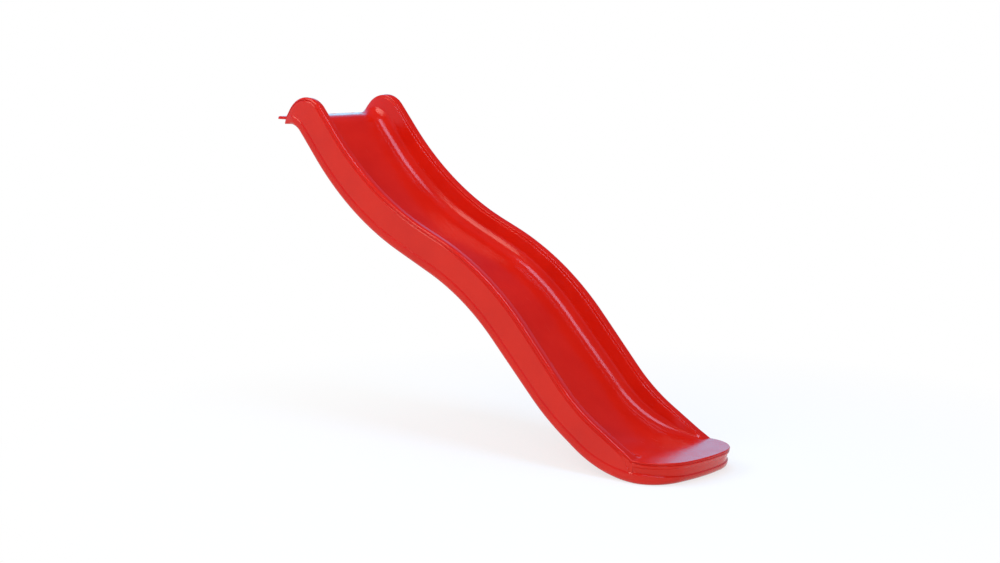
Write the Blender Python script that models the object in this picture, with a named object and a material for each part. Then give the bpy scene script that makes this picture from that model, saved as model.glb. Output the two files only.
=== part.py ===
"""A child's wave slide for a 1.2 m platform, moulded as two thin shells that meet along a seam.

X runs downhill, Y across the slide and Z up. The origin is the middle of the lip's underside,
which rests on the platform's floor. All lengths are in metres and all angles in degrees.
"""

import math

import bmesh
import bpy
from mathutils import Vector

# Overall sizes
HALF_WIDTH = 0.240
PLATFORM_HEIGHT = 1.200
WALL = 0.003
GAP = 0.0003

# Entry lip, whose underside lies on the platform
LIP_DEPTH = 0.058
LIP_THICKNESS = 0.012
LIP_CORNER = 0.025
LIP_EDGE = 0.009
BODY_BACK = LIP_DEPTH / 2

# Riding bed, read down the slide as straight runs joined by tangent arcs
LIP_RUN = 0.058
CREST_RADIUS = 0.100
TOP_SLOPE = 49.0
TOP_RUN = 0.126
HOLLOW_RADIUS = 1.200
MIDDLE_SLOPE = 23.0
MIDDLE_RUN = 0.181
HUMP_RADIUS = 1.060
LOWER_SLOPE = 45.0
RUNOUT_RADIUS = 0.500

# Foot: a D in plan, with its front bowed forward
FOOT_HEIGHT = 0.081
FOOT_FRONT = 1.968
FOOT_BOW = 0.660
FOOT_CORNER = 0.155
FOOT_RUN = 0.075
FOOT_LEAN = 0.027

# Side walls above the bed, and the line of their rims
WALL_HEIGHT = 0.0968
RIM_WIDTH = 0.038
HEAD_RADIUS = 0.091
HEAD_BACK_SLOPE = 43.5
RIM_HOLLOW_RADIUS = 1.157
RIM_MIDDLE_SLOPE = 23.4
RIM_MIDDLE_RUN = 0.184
RIM_HUMP_RADIUS = 1.161
RIM_LOWER_SLOPE = 46.2
RIM_LOWER_RUN = 0.289
RIM_BEND_RADIUS = 0.711
RIM_END_SLOPE = 29.6

# Depth of the body below the bed, and how its underside bends to the ground
BODY_DEPTH = 0.052
REAR_DEPTH = 0.018
REAR_BEND_RADIUS = 0.085
FIRST_BEND_RADIUS = 1.000
FIRST_BEND = 11.5
BEND_RUN = 0.061
LANDING_RADIUS = 0.489
GROUND_RUN = 0.150

# Rim and seam in section
RIM_EDGE = 0.008
RIM_INNER_EDGE = 0.006
FOOT_EDGE = 0.003
SKIRT = 0.012
FOOT_SKIRT = 0.0065
SEAM_CHAMFER = 0.002
LEDGE_DROP = 0.013
LEDGE_WIDTH = 0.004
LEDGE_ROUND = 0.0015
WALL_DRAFT = 0.007
BED_FILLET = 0.055

# Outer side in section under the seam, as how far out and how far down each edge stands:
# on the proud panel, on the post that ends it, and on the foot's recessed front
PANEL_ROWS = ((-0.0023, 0.0), (-0.0008, 0.0015), (-0.0005, 0.0035), (0.0015, 0.0058), (0.0015, 0.0120))
POST_ROWS = ((-0.0040, 0.0), (-0.0030, 0.0025), (-0.0005, 0.0050), (-0.0005, 0.0090), (-0.0005, 0.0150))
FRONT_ROWS = ((-0.0040, 0.0), (-0.0035, 0.0025), (0.0, 0.0055), (0.0, 0.0125), (-0.0040, 0.0165))
PANEL_END = 1.790
PANEL_CORNER = 0.045
POST_WIDTH = 0.014
STEP_WIDTH = 0.0025

# Lower bead and the rounded bottom edge, on the body and on the foot
BEAD_PROUD = 0.0045
FOOT_BEAD = 0.0005
BEAD_TOP = 0.040
FOOT_BEAD_TOP = 0.029
BEAD_STEP = 0.005
BEAD_SHOULDER = 0.85
SHOULDER_INSET = 0.001
BOTTOM_RADIUS = 0.018
FULL_SIDE = 0.066

# Stiffening channels across the underside, pressed up until they touch the deck
CHANNEL_COUNT = 5
CHANNEL_FIRST = 0.300
CHANNEL_PITCH = 0.300
CHANNEL_MOUTH = 0.072
CHANNEL_DRAFT = 0.014
CHANNEL_HALF_LENGTH = 0.138

# Lip fixings: a round pocket each, with a washer and a pan-head screw
SCREW_SPREAD = (-0.165, -0.055, 0.055, 0.165)
SCREW_HOLE = 0.0070
POCKET_DIAMETER = 0.021
POCKET_DEPTH = 0.0075
WASHER_DIAMETER = 0.018
WASHER_THICKNESS = 0.0016
HEAD_DIAMETER = 0.012
HEAD_HEIGHT = 0.0045
SHANK_DIAMETER = 0.006
SCREW_LENGTH = 0.022
SCREW_TIP = 0.005

# Fineness of the curves
ARC_STEP = 6.0
CORNER_STEPS = 6
BOW_STEPS = 6
TURNED_SIDES = 12
NEAREST_STATIONS = 0.010
HEAD_STATIONS = (0.2, 0.4, 0.6, 0.8)
PANEL_CORNER_STATIONS = (0.3, 0.55, 0.75, 0.9, 1.0)
REACH = 0.2
SAME = 1e-6


class Path:
    """A line in the XZ plane made of straight runs and tangent arcs, read by its length."""

    def __init__(self, x, z, heading, moves):
        self.pieces = []
        self.length = 0.0
        for radius, amount in moves:
            self.pieces.append((self.length, x, z, heading, radius, amount))
            length = amount if radius is None else radius * abs(math.radians(amount))
            x, z, heading = self.walk(x, z, heading, radius, amount, length)
            self.length += length

    @staticmethod
    def walk(x, z, heading, radius, amount, length):
        """The place and heading after going a length into a straight run or an arc."""
        if radius is None:
            return x + length * math.cos(heading), z + length * math.sin(heading), heading
        side = math.copysign(1.0, amount)
        turned = heading + side * length / radius
        x += side * radius * (math.sin(turned) - math.sin(heading))
        z -= side * radius * (math.cos(turned) - math.cos(heading))
        return x, z, turned

    def at(self, length):
        piece = self.pieces[0]
        for candidate in self.pieces:
            if candidate[0] <= length:
                piece = candidate
        start, x, z, heading, radius, amount = piece
        return self.walk(x, z, heading, radius, amount, length - start)

    def stops(self):
        """Lengths at the ends of the runs and at even steps round the arcs."""
        found = []
        for start, _, _, _, radius, amount in self.pieces:
            steps = 1 if radius is None else max(1, math.ceil(abs(amount) / ARC_STEP))
            length = amount if radius is None else radius * abs(math.radians(amount))
            found += [start + length * step / steps for step in range(steps)]
        return found + [self.length]

    def samples(self, spacing=0.002):
        count = math.ceil(self.length / spacing)
        return [self.at(self.length * step / count)[:2] for step in range(count + 1)]


def bed_path():
    """The riding bed's centre line, from the body's rear face to where the foot is flat."""
    level = LIP_THICKNESS
    land = -PLATFORM_HEIGHT + FOOT_HEIGHT
    top, middle, lower = (math.radians(slope) for slope in (TOP_SLOPE, MIDDLE_SLOPE, LOWER_SLOPE))
    drop = level - land
    drop -= CREST_RADIUS * (1 - math.cos(top)) + TOP_RUN * math.sin(top)
    drop -= HOLLOW_RADIUS * (math.cos(middle) - math.cos(top)) + MIDDLE_RUN * math.sin(middle)
    drop -= HUMP_RADIUS * (math.cos(middle) - math.cos(lower)) + RUNOUT_RADIUS * (1 - math.cos(lower))
    lower_run = drop / math.sin(lower)
    moves = (
        (None, LIP_RUN),
        (CREST_RADIUS, -TOP_SLOPE),
        (None, TOP_RUN),
        (HOLLOW_RADIUS, TOP_SLOPE - MIDDLE_SLOPE),
        (None, MIDDLE_RUN),
        (HUMP_RADIUS, MIDDLE_SLOPE - LOWER_SLOPE),
        (None, lower_run),
        (RUNOUT_RADIUS, LOWER_SLOPE),
        (None, FOOT_RUN),
    )
    return Path(BODY_BACK, level, 0.0, moves)


def underside_path(bed):
    """The bottom line: a bend under the crest, the bed's parallel, then two bends onto the ground."""
    rear = Path(BODY_BACK, -REAR_DEPTH, 0.0, ((REAR_BEND_RADIUS, -TOP_SLOPE),))
    bent_x, bent_z, heading = rear.at(rear.length)
    _, x, z, _, _, _ = bed.pieces[3]
    x += BODY_DEPTH * math.sin(heading)
    z -= BODY_DEPTH * math.cos(heading)
    down = (z - bent_z) / math.sin(heading)
    moves = [(None, x - bent_x - down * math.cos(heading)), (REAR_BEND_RADIUS, -TOP_SLOPE), (None, down)]
    for _, _, _, _, radius, amount in bed.pieces[3:6]:
        moves.append((radius and radius + math.copysign(BODY_DEPTH, amount), amount))
    _, _, z, heading, _, _ = bed.pieces[6]
    rest = heading + math.radians(FIRST_BEND)
    drop = z - BODY_DEPTH * math.cos(heading) + PLATFORM_HEIGHT
    drop -= FIRST_BEND_RADIUS * (math.cos(rest) - math.cos(heading))
    drop -= BEND_RUN * math.sin(-rest) + LANDING_RADIUS * (1 - math.cos(rest))
    moves += [
        (None, drop / math.sin(-heading)),
        (FIRST_BEND_RADIUS, FIRST_BEND),
        (None, BEND_RUN),
        (LANDING_RADIUS, -math.degrees(rest)),
        (None, GROUND_RUN),
    ]
    return Path(BODY_BACK, -REAR_DEPTH, 0.0, moves)


def rim_path(bed):
    """The rims' top line: a rounded head, then the bed's line raised, then a bend down to the foot."""
    rise = math.radians(HEAD_BACK_SLOPE)
    _, top_x, top_z, top_heading, _, _ = bed.pieces[2]
    normal = Vector((-math.sin(top_heading), math.cos(top_heading)))
    on_line = Vector((top_x, top_z)) + normal * WALL_HEIGHT
    bare_head = Path(BODY_BACK, LIP_THICKNESS, rise, ((HEAD_RADIUS, -HEAD_BACK_SLOPE - TOP_SLOPE),))
    x, z, _ = bare_head.at(bare_head.length)
    back = Vector((math.cos(rise), math.sin(rise)))
    back_run = (on_line - Vector((x, z))).dot(normal) / back.dot(normal)
    along = Vector((math.cos(top_heading), math.sin(top_heading)))
    join = (on_line - Vector((x, z)) - back * back_run).dot(along)
    moves = [
        (None, back_run),
        (HEAD_RADIUS, -HEAD_BACK_SLOPE - TOP_SLOPE),
        (None, join + TOP_RUN),
        (RIM_HOLLOW_RADIUS, TOP_SLOPE - RIM_MIDDLE_SLOPE),
        (None, RIM_MIDDLE_RUN),
        (RIM_HUMP_RADIUS, RIM_MIDDLE_SLOPE - RIM_LOWER_SLOPE),
        (None, RIM_LOWER_RUN),
        (RIM_BEND_RADIUS, RIM_LOWER_SLOPE - RIM_END_SLOPE),
    ]
    bent = Path(BODY_BACK, LIP_THICKNESS, rise, moves)
    _, z, heading = bent.at(bent.length)
    level = bed.at(bed.length)[1]
    moves.append((None, (z - level) / math.sin(-heading)))
    return Path(BODY_BACK, LIP_THICKNESS, rise, moves)


def reach(line, x, z, dx, dz):
    """How far along a direction a point meets a sampled line, or 0 where it misses it."""
    best = 0.0
    for (ax, az), (bx, bz) in zip(line, line[1:]):
        cross = dx * (bz - az) - dz * (bx - ax)
        if cross == 0:
            continue
        share = (dz * (ax - x) - dx * (az - z)) / cross
        travel = ((ax - x) * (bz - az) - (az - z) * (bx - ax)) / cross
        if -SAME <= share <= 1 + SAME and 0 <= travel <= REACH:
            best = travel
    return best


def ease(value, low, high):
    """0 below low, 1 above high and smooth between."""
    share = min(1.0, max(0.0, (value - low) / (high - low)))
    return share * share * (3 - 2 * share)


BED = bed_path()
UNDERSIDE = underside_path(BED).samples()
RIM_LINE = rim_path(BED)
RIM = RIM_LINE.samples()


class Post:
    """One place on the slide's outer edge, with the directions and sizes of the section there.

    A point of the section is so far out from the edge and so far up from the bed.
    """

    def __init__(self, foot, out, up, rim=0.0, skirt=FOOT_SKIRT, edge=FOOT_EDGE, depth=0.0, rows=()):
        self.foot = Vector(foot)
        self.out = Vector(out)
        self.up = Vector(up)
        self.rim = rim
        self.skirt = skirt
        self.edge = edge
        self.rows = rows
        self.seam = rim - skirt - GAP
        self.bottom = -depth
        self.scale = min(1.0, (self.seam - self.bottom) / FULL_SIDE)
        share = self.out.x * self.out.x
        self.bead = mix(BEAD_PROUD, FOOT_BEAD, share)
        self.bead_top = mix(BEAD_TOP, FOOT_BEAD_TOP, share) * self.scale
        self.radius = BOTTOM_RADIUS * self.scale
        self.lean = FOOT_LEAN * share

    def point(self, out, up):
        return self.foot + self.out * out + self.up * up

    def leant(self, points):
        """The side's points moved in towards the bottom by the lean."""
        high = self.seam - self.bottom
        return [(out - self.lean * (self.seam - up) / high, up) for out, up in points]


def mix(one, other, share):
    return one + (other - one) * share


def corner_centre():
    """Where the foot's rounded corners turn: how far downhill, and how far from the middle."""
    inset = HALF_WIDTH - FOOT_CORNER
    return FOOT_FRONT - FOOT_BOW + math.sqrt((FOOT_BOW - FOOT_CORNER) ** 2 - inset**2), inset


def side_rows(x, start):
    """The side's upper edges: the panel fades in after the lip and ends in a rounded corner at its post."""
    turn = min(1.0, max(0.0, (x - PANEL_END) / PANEL_CORNER + 1))
    fall = FULL_SIDE * (1 - math.sqrt(1 - turn * turn))
    lowest = FULL_SIDE - BEAD_TOP
    to_post = ease(x, PANEL_END, PANEL_END + STEP_WIDTH)
    to_front = ease(x, PANEL_END + POST_WIDTH, PANEL_END + POST_WIDTH + STEP_WIDTH)
    rows = []
    for number, (panel, post, front) in enumerate(zip(PANEL_ROWS, POST_ROWS, FRONT_ROWS)):
        out, down = panel
        if number > 1:
            out *= start
            down = min(down + fall, lowest + down / 2)
        out, down = mix(out, post[0], to_post), mix(down, post[1], to_post)
        rows.append((mix(out, front[0], to_front), mix(down, front[1], to_front)))
    return rows


def side_post(length, side):
    """The post on one side at a length down the bed, which turns in where the foot's corner starts."""
    x, z, heading = BED.at(length)
    corner_x, inset = corner_centre()
    turn = math.asin(max(0.0, x - corner_x) / FOOT_CORNER)
    up_x, up_z = -math.sin(heading), math.cos(heading)
    start = ease(length, 0.0, LIP_RUN)
    ending = ease(x, PANEL_END - PANEL_CORNER, PANEL_END + POST_WIDTH)
    post = Post(
        (x, side * (inset + FOOT_CORNER * math.cos(turn)), z),
        (math.sin(turn), side * math.cos(turn), 0),
        (up_x, 0, up_z),
        rim=reach(RIM, x, z, up_x, up_z),
        skirt=mix(mix(LIP_THICKNESS, SKIRT, start), FOOT_SKIRT, ending),
        edge=mix(RIM_EDGE, FOOT_EDGE, ending),
        depth=reach(UNDERSIDE, x, z, -up_x, -up_z),
        rows=side_rows(x, start),
    )
    post.bead *= start
    return post


def foot_posts():
    """Posts round the rest of the foot's D, from its near side to its far side."""
    last_x, level, _ = BED.at(BED.length)
    corner_x, inset = corner_centre()
    half_bow = math.asin(inset / (FOOT_BOW - FOOT_CORNER))
    begun = math.asin((last_x - corner_x) / FOOT_CORNER)
    quarter = math.pi / 2 - half_bow - begun
    arcs = []
    for step in range(1, CORNER_STEPS):
        angle = begun - math.pi / 2 + quarter * step / CORNER_STEPS
        arcs.append((corner_x, -inset, FOOT_CORNER, angle))
    for step in range(BOW_STEPS + 1):
        arcs.append((FOOT_FRONT - FOOT_BOW, 0.0, FOOT_BOW, half_bow * (2 * step / BOW_STEPS - 1)))
    for step in range(1, CORNER_STEPS):
        arcs.append((corner_x, inset, FOOT_CORNER, half_bow + quarter * step / CORNER_STEPS))
    posts = []
    for x, y, radius, angle in arcs:
        out = Vector((math.cos(angle), math.sin(angle), 0))
        posts.append(Post(Vector((x, y, level)) + out * radius, out, (0, 0, 1), depth=FOOT_HEIGHT, rows=FRONT_ROWS))
    return posts


def lip_posts():
    """Posts round the lip's rounded rear edge, from the far side to the near side."""
    posts = []
    for side in (1, -1):
        centre = Vector((-BODY_BACK + LIP_CORNER, side * (HALF_WIDTH - LIP_CORNER), LIP_THICKNESS))
        for step in range(CORNER_STEPS + 1):
            turn = step / CORNER_STEPS if side > 0 else 1 - step / CORNER_STEPS
            angle = math.pi / 2 * turn
            out = Vector((-math.sin(angle), side * math.cos(angle), 0))
            foot = centre + out * LIP_CORNER
            posts.append(Post(foot, out, (0, 0, 1), skirt=LIP_THICKNESS, edge=LIP_EDGE))
    return posts


def channel_rows():
    """Lengths down the bed of each stiffening channel's four edges."""
    rows = []
    for number in range(CHANNEL_COUNT):
        middle = CHANNEL_FIRST + CHANNEL_PITCH * number
        half = CHANNEL_MOUTH / 2
        floor = half - CHANNEL_DRAFT
        rows.append((middle - half, middle - floor, middle + floor, middle + half))
    return rows


def length_at(x):
    """The length down the bed at which it is so far downhill."""
    low, high = 0.0, BED.length
    while high - low > SAME:
        middle = (low + high) / 2
        low, high = (middle, high) if BED.at(middle)[0] < x else (low, middle)
    return low


def stations():
    """Lengths down the bed where the shells have a section, and which of them are channel edges."""
    rows = channel_rows()
    edges = {length: number for row in rows for number, length in enumerate(row)}
    free = []
    wanted = BED.stops() + [LIP_RUN * share for share in HEAD_STATIONS]
    panel_stops = [PANEL_END - PANEL_CORNER * (1 - share) for share in PANEL_CORNER_STATIONS]
    for step in (STEP_WIDTH, POST_WIDTH, POST_WIDTH + STEP_WIDTH):
        panel_stops.append(PANEL_END + step)
    for x in panel_stops + [RIM[-1][0]]:
        wanted.append(length_at(x))
    for length in wanted:
        if all(length < row[0] - NEAREST_STATIONS or length > row[3] + NEAREST_STATIONS for row in rows):
            free.append(length)
    return sorted(set(free) | set(edges)), edges


class Shell:
    """Vertices and faces collected row by row, then closed into one mesh."""

    def __init__(self):
        self.points = []
        self.faces = []

    def row(self, points):
        first = len(self.points)
        self.points += [Vector(point) for point in points]
        return list(range(first, len(self.points)))

    def strip(self, one, other):
        for index in range(len(one) - 1):
            self.faces.append((one[index], one[index + 1], other[index + 1], other[index]))

    def cap(self, ring):
        self.faces.append(tuple(ring))

    def finish(self, name, surface):
        mesh = bpy.data.meshes.new(name)
        mesh.from_pydata(self.points, [], self.faces)
        work = bmesh.new()
        work.from_mesh(mesh)
        bmesh.ops.recalc_face_normals(work, faces=work.faces)
        bmesh.ops.triangulate(work, faces=[face for face in work.faces if len(face.verts) > 4])
        work.to_mesh(mesh)
        work.free()
        mesh.materials.append(surface)
        mesh.shade_smooth()
        mesh.set_sharp_from_angle(angle=math.radians(40))
        body = bpy.data.objects.new(name, mesh)
        bpy.context.collection.objects.link(body)
        return body


def arc_points(out, up, radius, first, last, steps):
    """Points of a section's rounding, as (out, up), between two angles from straight out."""
    angles = [math.radians(first + (last - first) * step / steps) for step in range(steps + 1)]
    return [(out + radius * math.cos(angle), up + radius * math.sin(angle)) for angle in angles]


def skirt_section(post):
    """The deck's edge from its top, over the rounding and down the skirt to the seam."""
    points = arc_points(-post.edge, post.rim - post.edge, post.edge, 90, 0, 3)
    bottom = post.rim - post.skirt
    return points + [(0.0, bottom + SEAM_CHAMFER), (-SEAM_CHAMFER, bottom)]


def skirt_back(post):
    """The skirt's inner face, from the seam up to under the rim."""
    return [(-SEAM_CHAMFER - WALL, post.rim - post.skirt), (-WALL, post.rim - WALL)]


def trough_section(rim):
    """The trough's half section from the rim's inner edge to the bed, as (y, up) on the +Y side."""
    inner = HALF_WIDTH - RIM_WIDTH
    ledge = inner - LEDGE_WIDTH
    low = ledge - WALL_DRAFT
    points = arc_points(inner + RIM_INNER_EDGE, WALL_HEIGHT - RIM_INNER_EDGE, RIM_INNER_EDGE, 90, 180, 3)
    points.append((inner, WALL_HEIGHT - LEDGE_DROP))
    points.append((ledge, WALL_HEIGHT - LEDGE_DROP - LEDGE_ROUND))
    points += arc_points(low - BED_FILLET, BED_FILLET, BED_FILLET, -4, -90, 5)
    squash = rim / WALL_HEIGHT
    return [(y, up * squash) for y, up in points]


def trough_back(rim):
    """The trough's underside at the wall's thickness, from under the rim to the bed."""
    inner = HALF_WIDTH - RIM_WIDTH
    low = inner - LEDGE_WIDTH - WALL_DRAFT
    face = [(HALF_WIDTH, WALL_HEIGHT), (inner, WALL_HEIGHT)]
    face += arc_points(low - BED_FILLET, BED_FILLET, BED_FILLET, -4, -90, 3)
    face.append((0.0, 0.0))
    face = [Vector((y, up * rim / WALL_HEIGHT)) for y, up in face]
    behind = []
    for before, here, after in zip(face, face[1:], face[2:]):
        enter = (here - before).normalized()
        leave = (after - here).normalized()
        normal = (Vector((-enter.y, enter.x)) + Vector((-leave.y, leave.x))).normalized()
        behind.append(here + normal * WALL / normal.dot(Vector((-enter.y, enter.x))))
    return [(point.x, point.y) for point in behind]


def across(length, half):
    """A half section laid out on both sides of the bed, from -Y to +Y."""
    x, z, heading = BED.at(length)
    up_x, up_z = -math.sin(heading), math.cos(heading)
    near = [(x + up_x * up, -y, z + up_z * up) for y, up in half]
    far = [(x + up_x * up, y, z + up_z * up) for y, up in reversed(half)]
    return near + far


def side_section(post):
    """The base's side from the seam down over the panel and the lower bead to the underside."""
    points = [(out, post.seam - down * post.scale) for out, down in post.rows]
    high = post.bottom + post.bead_top
    step = BEAD_STEP * post.scale
    points.append((points[-1][0], high))
    points.append((post.bead * BEAD_SHOULDER, high - step))
    points.append((post.bead, high - 2 * step))
    points += arc_points(post.bead - post.radius, post.bottom + post.radius, post.radius, 0, -90, 4)
    return post.leant(points)


def side_back(post):
    """The base's inner side, from the seam down to the inner bottom corner."""
    inner = min(0.0, post.rows[-1][0]) - WALL
    high = post.bottom + post.bead_top
    points = [(post.rows[0][0] - WALL, post.seam), (inner - SHOULDER_INSET, post.seam - SKIRT * post.scale)]
    points += [(inner, high), (post.bead - WALL, high - 2 * BEAD_STEP * post.scale)]
    radius = post.radius
    points += arc_points(post.bead - radius, post.bottom + radius, radius - WALL, 0, -90, 2)
    return post.leant(points)


def underside_row(length, depth, raised, mouth, top):
    """A row across the underside inside its rounded edges, lifted where a channel's floor is."""
    lift = top if raised else -depth
    floor = mouth - CHANNEL_DRAFT / 2
    half = [(mouth, -depth), (floor, lift), (0.0, lift)]
    x, z, heading = BED.at(length)
    up_x, up_z = -math.sin(heading), math.cos(heading)
    near = [(x + up_x * up, -y, z + up_z * up) for y, up in half]
    far = [(x + up_x * up, y, z + up_z * up) for y, up in reversed(half[:-1])]
    return near + far


def material(name, colour, roughness, metallic=0.0):
    surface = bpy.data.materials.new(name)
    surface.use_nodes = True
    shader = surface.node_tree.nodes["Principled BSDF"]
    shader.inputs["Base Color"].default_value = (*colour, 1.0)
    shader.inputs["Roughness"].default_value = roughness
    shader.inputs["Metallic"].default_value = metallic
    return surface


def make_deck(surface):
    """The riding skin: lip, bed, inner walls, rims with their heads, and the foot's top."""
    shell = Shell()
    lengths, _ = stations()
    near = [side_post(length, -1) for length in lengths]
    far = [side_post(length, 1) for length in lengths]
    foot = foot_posts()
    lip = lip_posts()

    outer = {}
    inner = {}
    for name, posts in (("near", near), ("foot", foot), ("far", far[::-1]), ("lip", lip)):
        outer[name] = [shell.row(post.point(*place) for place in skirt_section(post)) for post in posts]
        if name != "lip":
            inner[name] = [shell.row(post.point(*place) for place in skirt_back(post)) for post in posts]
    edge = outer["near"] + outer["foot"] + outer["far"] + outer["lip"]
    for one, other in zip(edge, edge[1:] + edge[:1]):
        shell.strip(one, other)

    troughs = []
    backs = []
    for number, (length, post) in enumerate(zip(lengths, near)):
        far_number = len(lengths) - 1 - number
        middle = shell.row(across(length, trough_section(post.rim)))
        troughs.append([outer["near"][number][0]] + middle + [outer["far"][far_number][0]])
        middle = shell.row(across(length, trough_back(post.rim)))
        backs.append([inner["near"][number][1]] + middle + [inner["far"][far_number][1]])
    for rows in (troughs, backs):
        for one, other in zip(rows, rows[1:]):
            shell.strip(one, other)

    shell.cap(troughs[-1] + [row[0] for row in reversed(outer["foot"])])
    shell.cap(troughs[0] + [row[0] for row in outer["lip"]])
    shell.cap(backs[-1] + [row[1] for row in reversed(inner["foot"])])
    rear_inner = inner["near"][0][0], inner["far"][-1][0]
    shell.cap([rear_inner[0]] + backs[0] + [rear_inner[1]])
    lip_bottom = [row[-1] for row in [outer["far"][-1]] + outer["lip"] + [outer["near"][0]]]
    shell.cap(lip_bottom + list(rear_inner))

    skirt = inner["near"] + inner["foot"] + inner["far"]
    seam = outer["near"] + outer["foot"] + outer["far"]
    for one, other in zip(skirt, skirt[1:]):
        shell.strip(one, other)
    shell.strip([row[-1] for row in seam], [row[0] for row in skirt])

    deck = shell.finish("deck_shell", surface)
    for number, y in enumerate(SCREW_SPREAD, start=1):
        cut(deck, f"hole_cutter_{number}", y, SCREW_HOLE, LIP_THICKNESS / 2, LIP_THICKNESS * 2)
        pocket_middle = LIP_THICKNESS + POCKET_DEPTH
        cut(deck, f"pocket_cutter_{number}", y, POCKET_DIAMETER, pocket_middle, POCKET_DEPTH * 4)
    return deck


def cut(body, name, y, diameter, middle, height):
    """Sink a round hole into the lip with a cylinder that isn't part of the slide."""
    mesh = bpy.data.meshes.new(name)
    work = bmesh.new()
    bmesh.ops.create_cone(
        work, cap_ends=True, segments=TURNED_SIDES, radius1=diameter / 2, radius2=diameter / 2, depth=height
    )
    work.to_mesh(mesh)
    work.free()
    cutter = bpy.data.objects.new(name, mesh)
    bpy.context.collection.objects.link(cutter)
    cutter.location = (0.0, y, middle)
    cutter.hide_render = True
    cutter.display_type = "WIRE"
    hole = body.modifiers.new(name, "BOOLEAN")
    hole.operation = "DIFFERENCE"
    hole.solver = "EXACT"
    hole.object = cutter


def make_base(surface):
    """The lower skin: rear face, side walls with panel and bead, ribbed underside and foot."""
    shell = Shell()
    lengths, channels = stations()
    outer_lengths = [GAP] + lengths[1:]
    shifts = {0: -WALL, 1: -WALL, 2: WALL, 3: WALL}
    inner_lengths = [GAP + WALL] + [length + shifts.get(channels.get(length), 0.0) for length in lengths[1:]]
    foot = foot_posts()

    outer = {}
    inner = {}
    for name, side in (("near", -1), ("far", 1)):
        posts = [side_post(length, side) for length in outer_lengths]
        outer[name] = [shell.row(post.point(*place) for place in side_section(post)) for post in posts]
        inner[name] = []
        for post, length in zip(posts, inner_lengths):
            back = side_post(length, side)
            seam_post = back if length == inner_lengths[0] else post
            places = side_back(back)
            points = [seam_post.point(*side_back(seam_post)[0])]
            points += [back.point(*place) for place in places[1:]]
            inner[name].append(shell.row(points))
    outer["foot"] = [shell.row(post.point(*place) for place in side_section(post)) for post in foot]
    inner["foot"] = [shell.row(post.point(*place) for place in side_back(post)) for post in foot]
    seams = []
    for skin in (outer, inner):
        band = skin["near"] + skin["foot"] + skin["far"][::-1]
        for one, other in zip(band, band[1:]):
            shell.strip(one, other)
        seams.append([row[0] for row in band])
    shell.strip(seams[0] + seams[0][:1], seams[1] + seams[1][:1])

    mouth = CHANNEL_HALF_LENGTH + CHANNEL_DRAFT / 2
    outer_top = -2 * WALL - GAP
    floors = {"outer": [], "inner": []}
    for number, station in enumerate(lengths):
        raised = channels.get(station) in (1, 2)
        post = side_post(outer_lengths[number], -1)
        row = shell.row(underside_row(outer_lengths[number], -post.bottom, raised, mouth, outer_top))
        floors["outer"].append([outer["near"][number][-1]] + row + [outer["far"][number][-1]])
        post = side_post(inner_lengths[number], -1)
        depth = -post.bottom - WALL
        row = shell.row(underside_row(inner_lengths[number], depth, raised, mouth + WALL, outer_top + WALL))
        floors["inner"].append([inner["near"][number][-1]] + row + [inner["far"][number][-1]])
    for rows in floors.values():
        for one, other in zip(rows, rows[1:]):
            shell.strip(one, other)
    for skin, rows in ((outer, floors["outer"]), (inner, floors["inner"])):
        shell.cap(rows[-1] + [row[-1] for row in reversed(skin["foot"])])
        shell.cap(skin["near"][0][:-1] + rows[0] + skin["far"][0][:-1][::-1])
    return shell.finish("base_shell", surface)


def turned(name, profile, surface, place):
    """A round piece from its half profile, read from its top on the axis down to its bottom."""
    work = bmesh.new()
    line = [work.verts.new((radius, 0.0, height)) for radius, height in profile]
    edges = [work.edges.new(pair) for pair in zip(line, line[1:] + line[:1] if profile[0][0] > 0 else line[1:])]
    bmesh.ops.spin(
        work,
        geom=line + edges,
        axis=(0, 0, 1),
        cent=(0, 0, 0),
        angle=2 * math.pi,
        steps=TURNED_SIDES,
        use_merge=True,
    )
    bmesh.ops.remove_doubles(work, verts=work.verts, dist=1e-6)
    bmesh.ops.recalc_face_normals(work, faces=work.faces)
    mesh = bpy.data.meshes.new(name)
    work.to_mesh(mesh)
    work.free()
    mesh.materials.append(surface)
    mesh.shade_smooth()
    mesh.set_sharp_from_angle(angle=math.radians(40))
    body = bpy.data.objects.new(name, mesh)
    bpy.context.collection.objects.link(body)
    body.location = place
    return body


def make_fixings(steel, washer_steel):
    """A washer and a pan-head screw in each of the lip's pockets."""
    seat = LIP_THICKNESS - POCKET_DEPTH + GAP
    hole = SCREW_HOLE / 2
    rim = WASHER_DIAMETER / 2
    chamfer = 0.0003
    ring = [
        (hole, WASHER_THICKNESS),
        (rim - chamfer, WASHER_THICKNESS),
        (rim, WASHER_THICKNESS - chamfer),
        (rim, 0.0),
        (hole, 0.0),
    ]
    shank = SHANK_DIAMETER / 2
    head = HEAD_DIAMETER / 2
    screw = [
        (0.0, HEAD_HEIGHT),
        (head * 0.55, HEAD_HEIGHT * 0.95),
        (head * 0.86, HEAD_HEIGHT * 0.75),
        (head, HEAD_HEIGHT * 0.4),
        (head, 0.0),
        (shank, 0.0),
        (shank, SCREW_TIP - SCREW_LENGTH),
        (0.0, -SCREW_LENGTH),
    ]
    for number, y in enumerate(SCREW_SPREAD, start=1):
        turned(f"lip_washer_{number}", ring, washer_steel, (0.0, y, seat))
        turned(f"lip_screw_{number}", screw, steel, (0.0, y, seat + WASHER_THICKNESS + GAP))


def main():
    for item in list(bpy.data.objects):
        bpy.data.objects.remove(item)
    make_deck(material("deck_red", (0.72, 0.02, 0.008), 0.3))
    make_base(material("base_red", (0.68, 0.018, 0.008), 0.34))
    make_fixings(
        material("screw_steel", (0.62, 0.62, 0.63), 0.35, 1.0),
        material("washer_steel", (0.66, 0.66, 0.67), 0.42, 1.0),
    )


main()
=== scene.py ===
"""Looks of the wave slide: smooth moulded shells, fixings, materials, light and camera."""

import math

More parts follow.
